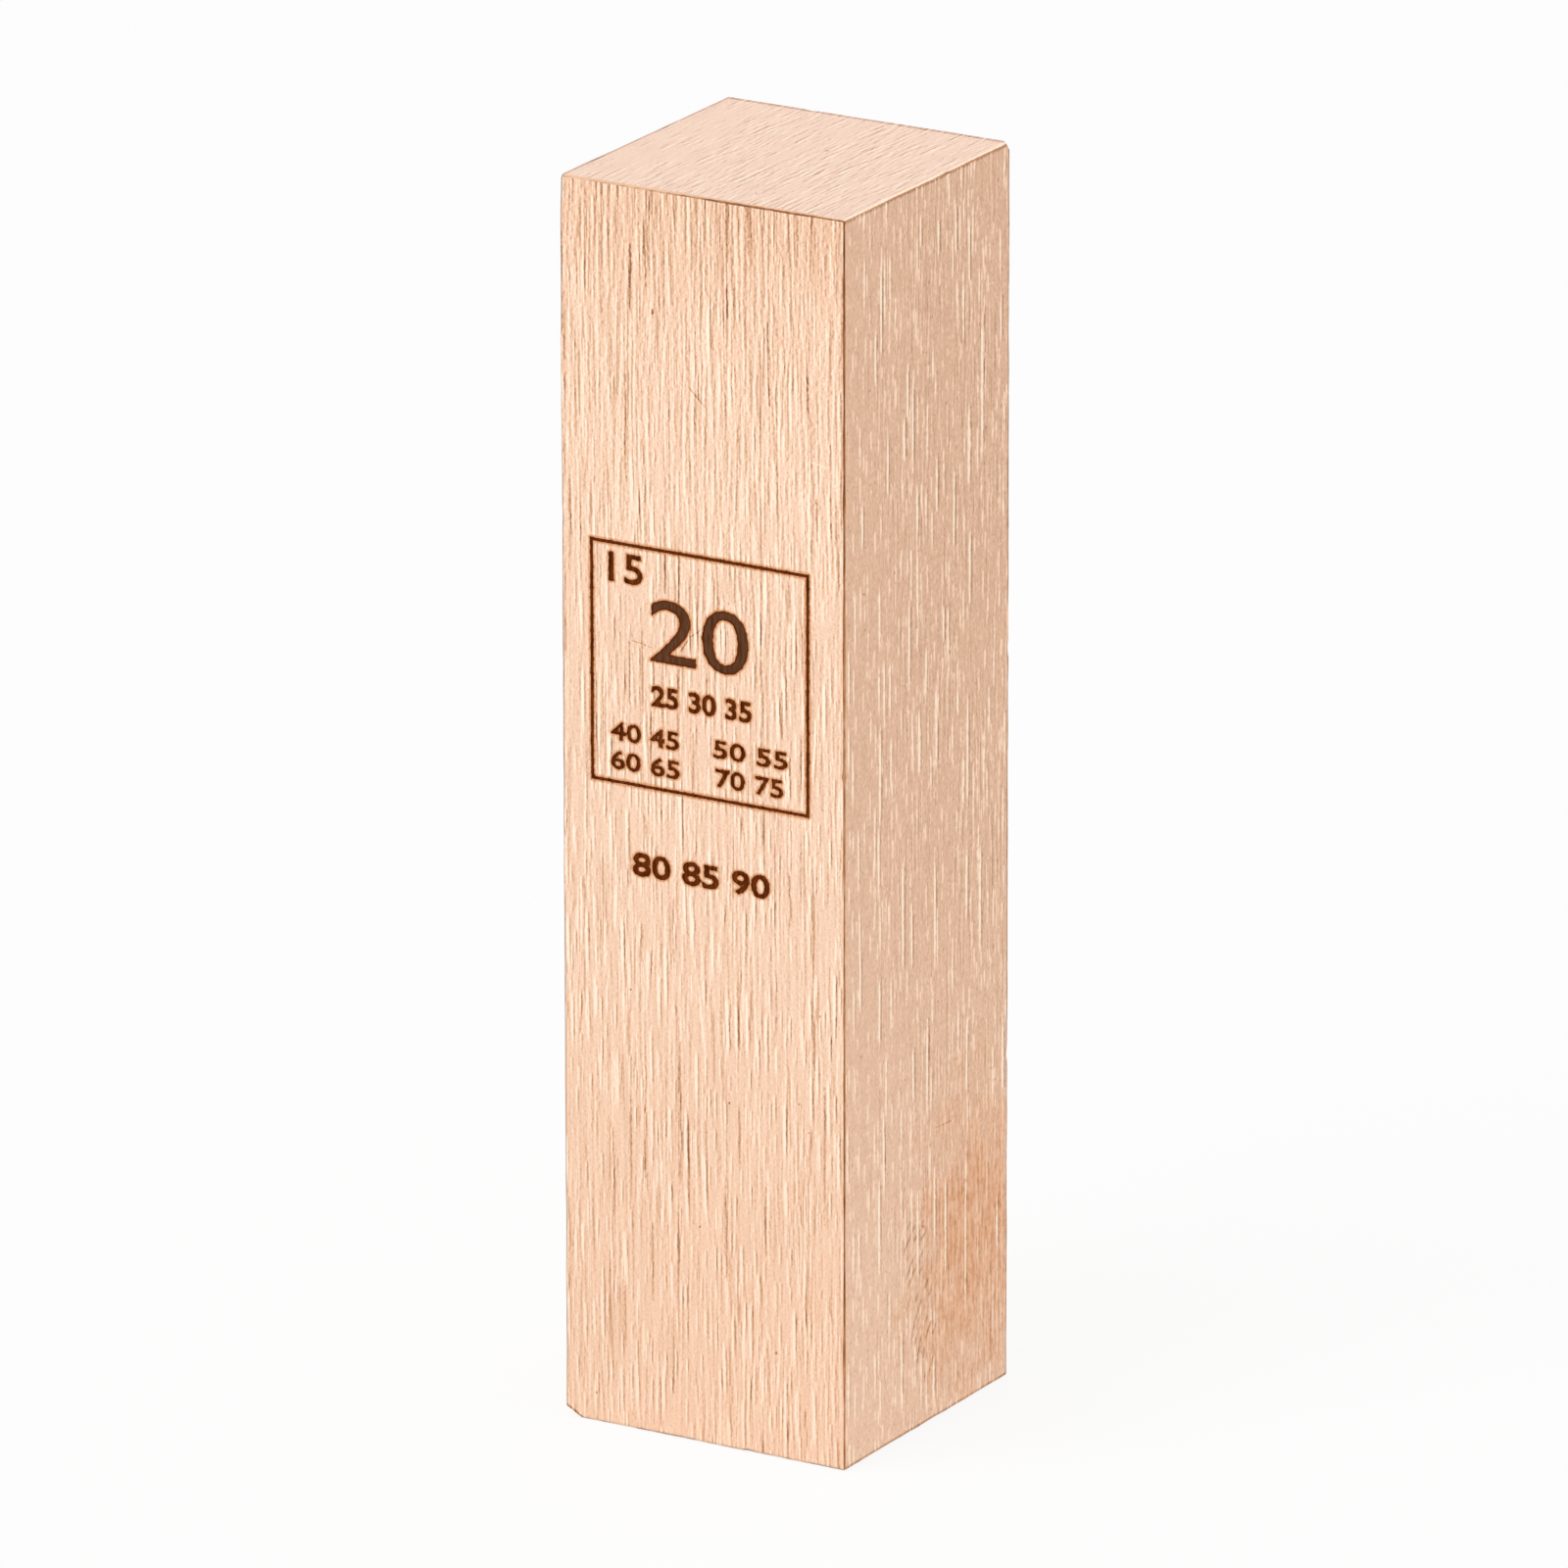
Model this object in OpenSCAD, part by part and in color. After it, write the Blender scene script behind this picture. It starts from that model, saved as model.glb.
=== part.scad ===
// Square bar of solid copper, standing on one sawn end.
// The long edges and the edges of both ends are broken, and the bar has been
// knocked or rubbed flat at three of its corners.
// Origin: centre of the lower end. +X runs along the marked front face,
// which looks towards -Y, and +Z runs up the bar.

/* [Bar] */
// Side of the square section
bar_side = 25.4; // [12:0.1:60]
// Length of the bar, from end to end
bar_length = 101.6; // [30:0.1:300]

/* [Edges] */
// Leg of the 45 degree break along the four long edges
long_edge_break = 0.12; // [0.05:0.01:1]
// Leg of the 45 degree break around the two ends
end_edge_break = 0.18; // [0.05:0.01:1]

/* [Corners] */
// Knock on the lower front left corner, measured back along X, Y and Z
lower_left_knock = [1.55, 1.3, 0.85]; // [0.3:0.05:4]
// Knock on the upper back right corner, measured back along X, Y and Z
upper_right_knock = [0.7, 0.65, 0.85]; // [0.3:0.05:4]
// Rubbed tip of the upper front left corner, measured back along X, Y and Z
upper_left_tip = [0.6, 0.55, 0.6]; // [0.3:0.05:4]
// Rubbed edge below that tip, measured back along X, Y and Z
upper_left_rub = [0.26, 0.26, 6.5]; // [0.2:0.01:10]

/* [Hidden] */

// Corners by the signs of their X, Y and Z, seen from the bar's middle
LOWER_FRONT_LEFT = [-1, -1, -1];
UPPER_BACK_RIGHT = [1, 1, 1];
UPPER_FRONT_LEFT = [-1, -1, 1];

// Each flat that was worn on a corner: the corner, and how far it reaches
WORN_FLATS = [
    [LOWER_FRONT_LEFT, lower_left_knock],
    [UPPER_BACK_RIGHT, upper_right_knock],
    [UPPER_FRONT_LEFT, upper_left_tip],
    [UPPER_FRONT_LEFT, upper_left_rub],
];

// Rectangle centred on the origin, with its four corners cut at 45 degrees
module broken_rectangle(size, leg) {
    half = size / 2;
    polygon([
        [half.x, half.y - leg],
        [half.x - leg, half.y],
        [leg - half.x, half.y],
        [-half.x, half.y - leg],
        [-half.x, leg - half.y],
        [leg - half.x, -half.y],
        [half.x - leg, -half.y],
        [half.x, leg - half.y],
    ]);
}

// Bar about the origin with only its four long edges broken
module long_edges_broken() {
    linear_extrude(bar_length, center = true)
        broken_rectangle([bar_side, bar_side], long_edge_break);
}

// Bar about the origin with its ends broken along two opposite sides,
// as a side view of the bar pushed through its width
module ends_broken() {
    rotate([90, 0, 0])
        linear_extrude(bar_side, center = true)
            broken_rectangle([bar_side, bar_length], end_edge_break);
}

// Block that lies wholly beyond a worn flat. The flat crosses the three edges
// that meet at the corner, at the distances in reach.
module beyond_flat(corner, reach) {
    slope = [corner.x / reach.x, corner.y / reach.y, corner.z / reach.z];
    depth = 1 / norm(slope);
    block = 3 * max(reach);
    translate([corner.x * bar_side, corner.y * bar_side, corner.z * bar_length] / 2)
        rotate([0, acos(slope.z * depth), atan2(slope.y, slope.x)])
            translate([-block / 2, -block / 2, -depth])
                cube(block);
}

module bar() {
    color("#F0C6A8")
        translate([0, 0, bar_length / 2])
            difference() {
                intersection() {
                    long_edges_broken();
                    ends_broken();
                    rotate([0, 0, 90])
                        ends_broken();
                }
                for (flat = WORN_FLATS)
                    beyond_flat(flat[0], flat[1]);
            }
}

bar();
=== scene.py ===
"""Looks of the square copper bar: brushed faces, worn edges and a laser-marked front.

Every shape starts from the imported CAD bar. Lengths are in millimetres until a piece is
finished, and are then multiplied by MM to give metres.
"""

import math
import random

import bmesh
import bpy
from mathutils import Matrix, Vector, noise
from mathutils.kdtree import KDTree


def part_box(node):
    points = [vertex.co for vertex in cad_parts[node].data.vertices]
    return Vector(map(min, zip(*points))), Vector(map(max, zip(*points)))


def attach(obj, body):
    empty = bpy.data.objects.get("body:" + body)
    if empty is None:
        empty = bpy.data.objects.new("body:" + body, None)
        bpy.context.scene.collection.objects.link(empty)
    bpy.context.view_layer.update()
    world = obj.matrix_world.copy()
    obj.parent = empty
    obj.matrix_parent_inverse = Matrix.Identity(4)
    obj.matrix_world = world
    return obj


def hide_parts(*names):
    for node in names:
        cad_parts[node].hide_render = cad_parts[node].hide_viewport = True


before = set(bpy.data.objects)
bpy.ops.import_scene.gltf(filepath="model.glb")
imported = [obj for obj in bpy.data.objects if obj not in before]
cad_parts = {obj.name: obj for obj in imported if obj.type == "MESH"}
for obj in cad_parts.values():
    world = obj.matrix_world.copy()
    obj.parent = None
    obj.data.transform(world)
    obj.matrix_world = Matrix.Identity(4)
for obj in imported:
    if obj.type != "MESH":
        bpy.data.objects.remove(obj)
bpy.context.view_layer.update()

MM = 0.001
LOW, HIGH = (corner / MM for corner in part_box("bar"))
HALF = (HIGH.x - LOW.x) / 2
LENGTH = HIGH.z - LOW.z
# Round the bar from its front left edge, this is where the right face starts and ends
SIDE_START = 2 * HALF
SIDE_END = 4 * HALF
# A face looks straight along an axis when that part of its normal is above this
SQUARE_ON = 0.99
# It runs along the axis when that part is below this
RUNS_ALONG = 0.05
# How close points must be to count as one: in the CAD mesh, in a cut, and in the text's units
TOLERANCE = 0.001
CUT_TOLERANCE = 0.00001
TEXT_TOLERANCE = 0.000001

# The camera: a long lens, a little above the bar and to its right
CAMERA_AZIMUTH = 30.57
CAMERA_ELEVATION = 18.07
CAMERA_ROLL = -0.083
CAMERA_DISTANCE = 1368.2
CAMERA_LENS = 402.5
CAMERA_AIM_RIGHT = -0.19
CAMERA_AIM_UP = -0.05

# The broken edges were filed by hand, so their width wanders, and a few places are nicked
EDGE_SEED = 7
EDGE_STEP = (0.35, 0.6)
EDGE_END_GAP = 0.5
# Two parts of one strip have normals no further apart than this
SAME_STRIP = 0.01
EDGE_WANDER = 0.05
EDGE_WANDER_LENGTH = 2.2
EDGE_SWAY = 0.06
EDGE_SWAY_LENGTH = 7.0
NICK_LENGTH = 0.38
# Each nick: where it is on the bar, and how much deeper the edge is broken there
NICKS = [
    ((HALF, HALF, 60.5), 0.17),
    ((HALF, HALF, 27.0), 0.15),
    ((HALF, -HALF, 57.0), 0.16),
    ((-HALF, -HALF, 74.0), 0.12),
    ((HALF, 3.0, LENGTH), 0.12),
    ((-HALF, HALF, 33.0), 0.3),
    ((-5.0, HALF, LENGTH), 0.25),
    ((4.0, -HALF, 0.0), 0.2),
]

# The marking: a square frame of thin lines, and rows of plain numbers that count in fives.
# Places are from the middle of the front face (right is positive) and down from the top.
FIRST_NUMBER = 15
COUNT_STEP = 5
MARK_DEPTH = 0.04
FRAME_SIDE = 19.4
FRAME_LINE = 0.25
FRAME_CENTRE = (-0.28, 38.65)
# Each row: how many numbers, left end, baseline, digit height, width, added stroke weight
MARK_ROWS = [
    (1, -8.42, 32.1, 2.35, 3.0, 0.0),
    (1, -4.70, 38.05, 5.1, 8.8, 0.0),
    (3, -4.60, 41.65, 1.65, 8.95, 0.01),
    (2, -8.28, 44.95, 1.45, 6.1, 0.0),
    (2, 0.98, 44.95, 1.4, 6.6, 0.0),
    (2, -8.25, 47.3, 1.45, 6.1, 0.0),
    (2, 1.18, 47.3, 1.45, 6.0, 0.0),
    (3, -6.35, 55.75, 1.9, 12.3, 0.01),
]
# Turns what lies on its back to stand in the front face
STANDING = Matrix.Rotation(math.radians(90), 3, "X")
DIGIT_CURVE_STEPS = 4
DIGIT_GRID = 0.1
# No mark is closer to the front face's sides than this
MARK_MARGIN = 1
# The part of the front face that is given a fine mesh, to carry the scorch round the marks
PANEL_MARGIN = 1.2
PANEL_CUTS = 160
SCORCH_REACH = 1.0
OUTLINE_STEP = 0.04

# Deep grooves, pits and cross scratches on the front face, from its left edge and down from its
# top. An upright one is given by its place across, its top and its bottom, any other by both its
# ends, and each then by half its width.
FRONT_GROOVES = [
    (15.0, -3.0, 6.1, 0.14), (15.0, 6.5, 9.6, 0.11), (16.85, -1.0, 4.7, 0.12), (6.3, 4.5, 10.7, 0.16),
    (8.15, -1.0, 2.6, 0.12), (22.9, 22.3, 26.5, 0.14), (10.6, 27.0, 40.5, 0.13),
    (10.0, 56.5, 63.0, 0.11), (6.1, 35.5, 42.5, 0.1), (7.3, 35.0, 44.5, 0.1), (8.05, 41.0, 49.0, 0.09),
    (9.3, 28.8, 32.8, 0.09), (13.05, 38.5, 42.8, 0.11), (14.1, 28.8, 34.0, 0.1),
    (15.6, 29.0, 32.8, 0.09), (17.95, 35.5, 44.0, 0.1), (20.35, 29.0, 33.5, 0.1),
    (19.85, 38.0, 43.0, 0.1), (21.5, 41.5, 47.0, 0.09), (11.85, 42.3, 48.2, 0.1), (5.9, 51.0, 57.5, 0.1),
    (15.4, 50.5, 56.5, 0.09), (20.5, 53.0, 58.0, 0.1), (22.7, 63.0, 70.0, 0.13),
    (10.5, 67.5, 81.5, 0.16), (6.0, 73.5, 84.5, 0.13), (7.3, 73.5, 81.0, 0.1), (23.6, 69.5, 82.5, 0.12),
    (15.9, 72.5, 78.5, 0.11), (14.7, 79.0, 88.5, 0.16), (4.5, 78.5, 84.5, 0.1), (18.3, 78.5, 85.5, 0.1),
    (8.0, 83.5, 91.5, 0.12), (5.5, 89.0, 95.5, 0.12), (9.9, 90.5, 98.5, 0.12), (21.9, 87.0, 90.5, 0.11),
    (21.8, 96.5, 101.5, 0.11), (8.7, 96.5, 101.5, 0.1),
]
FRONT_CUTS = [
    (7.5, 1.5, 7.8, 9.5, 0.1), (5.8, 14.0, 5.9, 24.0, 0.12), (22.1, 12.0, 22.2, 21.5, 0.12),
    (18.5, 8.0, 18.8, 16.5, 0.11), (11.3, 15.2, 13.2, 17.0, 0.1), (6.1, 36.6, 8.4, 37.0, 0.07),
    (10.4, 37.3, 11.6, 35.5, 0.07), (11.4, 35.7, 13.1, 34.4, 0.07),
]
FRONT_PITS = [
    (8.25, 9.5, 8.35, 10.1, 0.12), (23.1, 64.5, 23.3, 64.5, 0.12), (14.9, 73.0, 15.1, 73.0, 0.12),
    (21.2, 72.0, 21.4, 72.0, 0.1), (22.1, 74.2, 22.3, 74.2, 0.1), (12.2, 83.7, 12.4, 83.7, 0.12),
    (6.0, 65.2, 6.2, 65.2, 0.1), (19.1, 92.9, 19.3, 92.9, 0.12), (2.7, 99.2, 2.9, 99.2, 0.12),
    (-0.1, 100.6, 1.7, 101.65, 0.17),
]
FRONT_PALE_LINES = [
    (7.3, 18.9, 20.3, 0.12), (11.8, 55.5, 60.5, 0.1), (1.6, 58.0, 62.5, 0.1), (8.4, 94.5, 100.5, 0.1),
    (20.0, 94.5, 99.0, 0.1), (10.4, 28.5, 33.5, 0.09), (20.6, 11.5, 18.5, 0.1),
]
FRONT_PALE_CUTS = [
    (22.2, 19.7, 24.1, 20.05, 0.08), (7.05, 18.7, 7.4, 18.95, 0.08), (12.1, 62.5, 13.0, 71.5, 0.09),
    (21.6, 21.8, 21.8, 26.4, 0.13), (12.7, 10.2, 13.1, 14.6, 0.11),
]
# The same for the longest scratches on the right face, from its front edge
SIDE_SCRATCHES = [
    (5.6, 4.8, 12.6, 0.17), (4.7, 9.8, 14.7, 0.18), (11.6, 2.4, 5.2, 0.18), (14.3, 3.4, 6.6, 0.18),
    (17.0, 2.8, 7.2, 0.17), (19.1, 4.8, 10.3, 0.15), (9.6, 13.6, 18.4, 0.17), (9.1, 17.8, 21.9, 0.21),
    (10.4, 15.5, 23.5, 0.17), (6.6, 18.8, 24.0, 0.17), (19.1, 19.2, 26.8, 0.23),
    (21.15, 12.0, 25.0, 0.23), (2.7, 23.0, 27.5, 0.15), (11.1, 23.8, 28.8, 0.17),
    (14.1, 22.2, 27.3, 0.18), (16.8, 24.0, 31.0, 0.17), (19.25, 29.5, 36.5, 0.18),
    (24.0, 11.7, 16.0, 0.17), (9.9, 32.5, 40.5, 0.17), (15.2, 34.8, 38.0, 0.15),
    (15.9, 34.6, 39.4, 0.15), (5.4, 41.6, 50.6, 0.20), (14.1, 40.6, 48.5, 0.21),
    (11.45, 42.0, 48.0, 0.18), (8.95, 53.6, 63.5, 0.21), (10.3, 57.5, 63.5, 0.17),
    (13.9, 54.5, 64.5, 0.17), (18.85, 55.6, 62.0, 0.20), (20.95, 55.5, 65.5, 0.21),
    (5.35, 62.4, 68.5, 0.17), (12.75, 67.5, 75.5, 0.17), (10.55, 69.5, 74.5, 0.17),
    (6.0, 73.5, 79.5, 0.15), (5.3, 78.5, 87.5, 0.20), (11.3, 81.5, 89.5, 0.17), (13.9, 80.5, 87.0, 0.17),
    (15.6, 81.5, 90.5, 0.17), (18.9, 69.5, 76.5, 0.17), (18.8, 79.5, 94.5, 0.15),
    (23.7, 85.5, 90.5, 0.17), (24.6, 71.5, 78.0, 0.21), (13.8, 96.0, 100.5, 0.17),
    (8.8, 92.5, 100.0, 0.17), (2.4, 59.5, 64.8, 0.15),
]
SIDE_LEANING_SCRATCHES = [(19.0, 42.5, 18.9, 53.0, 0.17)]
SIDE_CUTS = [
    (23.1, 12.5, 23.1, 19.5, 0.09), (22.9, 53.5, 22.9, 61.5, 0.11), (22.8, 93.5, 22.8, 100.5, 0.13),
    (14.0, 77.45, 17.0, 77.6, 0.09), (2.8, 30.6, 3.2, 30.8, 0.09), (11.8, 84.9, 12.5, 85.2, 0.14),
    (18.2, 81.5, 18.2, 84.5, 0.12),
]
# Pits in the ends, from the left side and from the front
END_PITS = [(15.75, 3.1, 15.95, 2.75, 0.11), (14.3, 16.0, 14.8, 15.8, 0.1)]
# A handling smudge on the right face: its middle and half size, the parts of its rim that
# show ridges, given as cuts are, and the middle that the ridges curve round
SMUDGE_MIDDLE = (19.8, 88.5)
SMUDGE_SIZE = (10.0, 13.0)
SMUDGE_RIM = [(10.2, 82.5, 13.2, 99.5, 2.2)]
RIDGES_MIDDLE = (24.0, 100.0)
RIDGE_PITCH = 0.85
# How much closer the streaks lie on the sides that nobody handles
PLAIN_SIDE_FINENESS = 1.5
# The front's leaning scratches move this far across for each mm down
SCRATCH_LEAN = -0.015
# How far down the front's palest band lies
PALE_BAND = 23.0
# Light falls on a groove from one side: two samples of its height, each this share of its
# width from the middle, give the slope
LIT_SHIFT = 0.18
# Each column of scratches is moved along by its own chance times this many cells
COLUMN_SHIFT = 31.7
# Further from a cut, in half widths, than any rim reaches
FAR_FROM_CUTS = 9.0

# How much of the floor's look is plain white, the rest being its shaded paper
FLOOR_WHITENESS = 0.86
FLOOR_REACH = 4000
# The floor lies this far below the bar, so that the two surfaces never coincide
FLOOR_GAP = 0.01
# How bright the white room is as fill light; the camera sees it at full strength
FILL_STRENGTH = 0.7


# ----------------------------------------------------------------- materials

# The pattern of the brushing: how wide each part's cells are across it and how long along it,
# in mm. The finest real lines are under 0.1 mm wide, too fine to show, so the parts that stand
# for them are drawn coarser than that.
SWAY = (3.0, 12.0)
RAG = (0.3, 0.6)
PATCH = (2.5, 9.0)
FRONT_GROOVE = (0.37, 7.0)
FRONT_CRUMB = (0.33, 0.5)
FRONT_BAND = (0.45, 9.0)
FRONT_SPECK = (0.17, 0.22)
SIDE_GROOVE = (0.42, 6.0)
SIDE_CRUMB = (0.4, 0.6)
SIDE_BEAD = (0.4, 0.8)
SIDE_SPECK = (0.2, 0.4)
SIDE_MOTTLE = (0.9, 1.6)
SIDE_DOT = (0.27, 0.5)
END_GROOVE = (0.4, 3.0)
END_CRUMB = (0.33, 0.8)
END_PATCH = (5.0, 7.0)
END_SPECK = (0.25, 0.4)
END_MOTTLE = (1.5, 3.0)
# The same for the smudge, the edges and the burnt marks
SMUDGE_CLOUD = (2.5, 3.5)
SMUDGE_STREAK = (0.4, 2.5)
SMUDGE_CRUMB = (0.55, 0.7)
RIDGE_PATCH = (1.4, 1.4)
BURNISHED_GRAIN = (0.3, 0.2)
EDGE_SHADE_GRAIN = (0.2, 1.6)
TORN_GRAIN = (0.6, 0.1)
BURNT_LINE = (0.18, 2.0)
FILED_PATCHES_PER_MM = 0.9

# Bare copper from the dull floor of a groove to the bright top of a ridge
COPPER_TONES = [
    (0.0, "#8A5A3C"),
    (0.2, "#C29472"),
    (0.45, "#E9BFA0"),
    (0.65, "#F9D7BD"),
    (0.8, "#FFE7CF"),
    (1.0, "#FFF4E0"),
]
# The same on the finely brushed sides, where even the scratches stay pink
SIDE_TONES = [
    (0.0, "#865538"),
    (0.2, "#BA8F6F"),
    (0.45, "#E4BB9D"),
    (0.65, "#FAD6BA"),
    (0.85, "#FFE3C8"),
    (1.0, "#FFEDD6"),
]
# Sawn end grain of the same copper, paler and pinker
END_TONES = [
    (0.0, "#A77C68"),
    (0.3, "#DCB59D"),
    (0.5, "#F0D0BB"),
    (0.75, "#FBE3CF"),
    (1.0, "#FFF4E2"),
]


def linear(hex_colour):
    """An sRGB hex colour as the linear colour that shaders take."""
    channels = [int(hex_colour[i:i + 2], 16) / 255 for i in (1, 3, 5)]
    return [c / 12.92 if c <= 0.04045 else ((c + 0.055) / 1.055) ** 2.4 for c in channels] + [1]


def add(tree, kind, inputs=(), **settings):
    """Adds a node with its settings and links, and gives its first output, if it has one."""
    node = tree.nodes.new("ShaderNode" + kind)
    for name, value in settings.items():
        setattr(node, name, value)
    pairs = inputs.items() if isinstance(inputs, dict) else enumerate(inputs)
    for socket, value in pairs:
        if isinstance(value, bpy.types.NodeSocket):
            tree.links.new(value, node.inputs[socket])
        else:
            node.inputs[socket].default_value = value
    return node.outputs[0] if node.outputs else None


def new_material(name, roughness, metallic=1.0):
    """A material with only its Principled shader, wired to the output."""
    material = bpy.data.materials.new(name)
    material.use_nodes = True
    tree = material.node_tree
    tree.nodes.clear()
    shader = add(tree, "BsdfPrincipled", {"Metallic": metallic, "Roughness": roughness}).node
    add(tree, "OutputMaterial", [shader.outputs[0]])
    return material, tree, shader


def finish_metal(tree, shader, colour, roughness, height, depth):
    """Wires colour, roughness and a relief of this depth in mm into the shader."""
    tree.links.new(colour, shader.inputs["Base Color"])
    tree.links.new(roughness, shader.inputs["Roughness"])
    relief = add(tree, "Bump", {"Strength": 1.0, "Distance": depth * MM, "Height": height})
    tree.links.new(relief, shader.inputs["Normal"])


def ramp(tree, factor, stops):
    """Colours spread along a factor: stops are places from 0 to 1 and hex colours."""
    blend = add(tree, "ValToRGB", [factor]).node
    elements = blend.color_ramp.elements
    for index, (place, colour) in enumerate(stops):
        element = elements[index] if index < 2 else elements.new(place)
        element.position = place
        element.color = linear(colour)
    return blend.outputs[0]


def fade(tree, value, start, end):
    """A smooth step: 0 at start and 1 at end, which may be the lower of the two."""
    return add(tree, "MapRange", {"Value": value, "From Min": start, "From Max": end},
               interpolation_type="SMOOTHSTEP")


def sum_of(tree, total, *terms):
    """Adds sockets, each times a weight or another socket, to a starting number or socket."""
    for socket, weight in terms:
        total = add(tree, "Math", [socket, weight, total], operation="MULTIPLY_ADD")
    return total


def position(tree):
    """Distances in millimetres from the bar's left side, from its front and down from its top."""
    spot = add(tree, "TexCoord").node.outputs["Object"]
    spot = add(tree, "VectorMath", [spot, (1 / MM, 1 / MM, -1 / MM), (HALF, HALF, LENGTH)],
               operation="MULTIPLY_ADD")
    return add(tree, "SeparateXYZ", [spot]).node.outputs


def round_the_bar(tree):
    """Distance from the front left edge, round the bar to the right, and down from the top."""
    left, back, down = position(tree)
    return add(tree, "Math", [left, back], operation="ADD"), down


def grain(tree, across, along, size, detail=1.0, seed=0.0):
    """Soft noise from 0 to 1. Its cells have this size in mm, across and along."""
    width, length = size
    spot = add(tree, "CombineXYZ", [across, along])
    cell = add(tree, "VectorMath", [spot, (1 / width, 1 / length, 0), (seed, seed * 2.3, 0)],
               operation="MULTIPLY_ADD")
    return add(tree, "TexNoise", {"Vector": cell, "Scale": 1, "Detail": detail},
               noise_dimensions="2D")


def wandering(tree, across, along, sway, rag):
    """A distance across the brushing that sways and is ragged: no groove is dead straight."""
    centred = add(tree, "Math", [across, -(sway + rag) / 2], operation="ADD")
    slow = grain(tree, across, along, SWAY)
    quick = grain(tree, across, along, RAG)
    return sum_of(tree, centred, (slow, sway), (quick, rag))


def lit_relief(tree, across, along, size, detail=1.0, seed=0.0):
    """Grooves as light shows them: above 0 on the side that faces it, below 0 on the other.

    Also gives their height.
    """
    shift = LIT_SHIFT * size[0]
    sides = [add(tree, "Math", [across, move], operation="ADD") for move in (-shift, shift)]
    heights = [grain(tree, side, along, size, detail, seed) for side in sides]
    return add(tree, "Math", heights, operation="SUBTRACT"), heights[0]


def upright(lines):
    """Lines that run straight down, as cuts: their two ends are equally far across."""
    return [(across, top, across, bottom, half) for across, top, bottom, half in lines]


def nearest_cut(tree, across, along, cuts, start=0.0):
    """How far a point is from the closest of some cuts: 0 on a middle line, 1 at a cut's rim.

    Each cut tapers to its ends. It is given by both ends, across and along, and half its width.
    """
    across_twice = add(tree, "CombineXYZ", [across, across])
    along_twice = add(tree, "CombineXYZ", [along, along])
    nearest = FAR_FROM_CUTS
    for left, top, right, bottom, half_width in cuts:
        middle = Vector((start + (left + right) / 2, (top + bottom) / 2))
        run = Vector((right - left, bottom - top))
        half_length = run.length / 2
        run.normalize()
        # A point's place in the cut, in half lengths along it and half widths across it
        by_across = Vector((run.x / half_length, -run.y / half_width, 0))
        by_along = Vector((run.y / half_length, run.x / half_width, 0))
        shift = -middle.x * by_across - middle.y * by_along
        local = add(tree, "VectorMath", [across_twice, by_across, shift], operation="MULTIPLY_ADD")
        local = add(tree, "VectorMath", [along_twice, by_along, local], operation="MULTIPLY_ADD")
        # Squared, its length keeps the cut's width even to near its ends
        squared = add(tree, "VectorMath", [local, local], operation="MULTIPLY")
        away = add(tree, "VectorMath", [squared], operation="LENGTH").node.outputs["Value"]
        nearest = add(tree, "Math", [away, nearest], operation="MINIMUM")
    return nearest


def cut_mask(tree, nearest, rough_rim):
    """1 in a cut and 0 outside it, with a rough rim."""
    return fade(tree, add(tree, "Math", [nearest, rough_rim], operation="ADD"), 1.0, 0.3)


def line_mask(tree, away, width):
    """1 close to a line's middle, which is this far away, and 0 from this width away on."""
    return fade(tree, add(tree, "Math", [away], operation="ABSOLUTE"), width, 0.25 * width)


def scratch_cells(tree, across, along, spacing, reach, seed):
    """Cells that may hold a scratch: a point's place across and along its own, from 0 to 1.

    They lie in columns a spacing wide, each cut into lengths of the given reach, and no two
    columns are cut at the same heights. Also gives three chances for each cell.
    """
    column = sum_of(tree, seed, (across, 1 / spacing))
    column_number = add(tree, "Math", [column], operation="FLOOR")
    start = add(tree, "TexWhiteNoise", {"W": column_number}, noise_dimensions="1D")
    start = start.node.outputs["Value"]
    row = sum_of(tree, start, (along, 1 / reach), (start, COLUMN_SHIFT))
    row_number = add(tree, "Math", [row], operation="FLOOR")
    cell = add(tree, "CombineXYZ", [column_number, row_number, seed])
    chance = add(tree, "TexWhiteNoise", [cell], noise_dimensions="3D")
    chances = add(tree, "SeparateXYZ", [chance.node.outputs["Color"]]).node.outputs
    places = [add(tree, "Math", [place], operation="FRACT") for place in (column, row)]
    return *places, chances


def scratches(tree, across, along, *, spacing, reach, width, share, seed):
    """Separate scratches along the brushing, in mm: 1 on each, fading out at its ends.

    A share of the cells holds one. Also gives the distance from the scratch's middle line,
    and how strong the scratch is at this point of its length.
    """
    column, row, chances = scratch_cells(tree, across, along, spacing, reach, seed)
    side, size, draw = chances
    # From the column's middle, moved sideways by up to a quarter of the spacing
    place = add(tree, "Math", [column, 0.5], operation="SUBTRACT")
    place = sum_of(tree, 0.25 * spacing, (sum_of(tree, place, (side, -0.5)), spacing))
    line = line_mask(tree, place, width)
    # Along its length, from a third of its cell to all of it, it starts sharply and trails off
    run = add(tree, "Math", [row, sum_of(tree, 0.35, (size, 0.65))], operation="DIVIDE")
    ends = add(tree, "Math", [fade(tree, run, 0.02, 0.2), fade(tree, run, 1.0, 0.6)],
               operation="MULTIPLY")
    kept = add(tree, "Math", [draw, share], operation="LESS_THAN")
    # A longer scratch is a stronger one
    strength = add(tree, "Math", [sum_of(tree, 0.4, (size, 0.6)), kept], operation="MULTIPLY")
    strength = add(tree, "Math", [ends, strength], operation="MULTIPLY")
    return add(tree, "Math", [line, strength], operation="MULTIPLY"), place, strength


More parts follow.
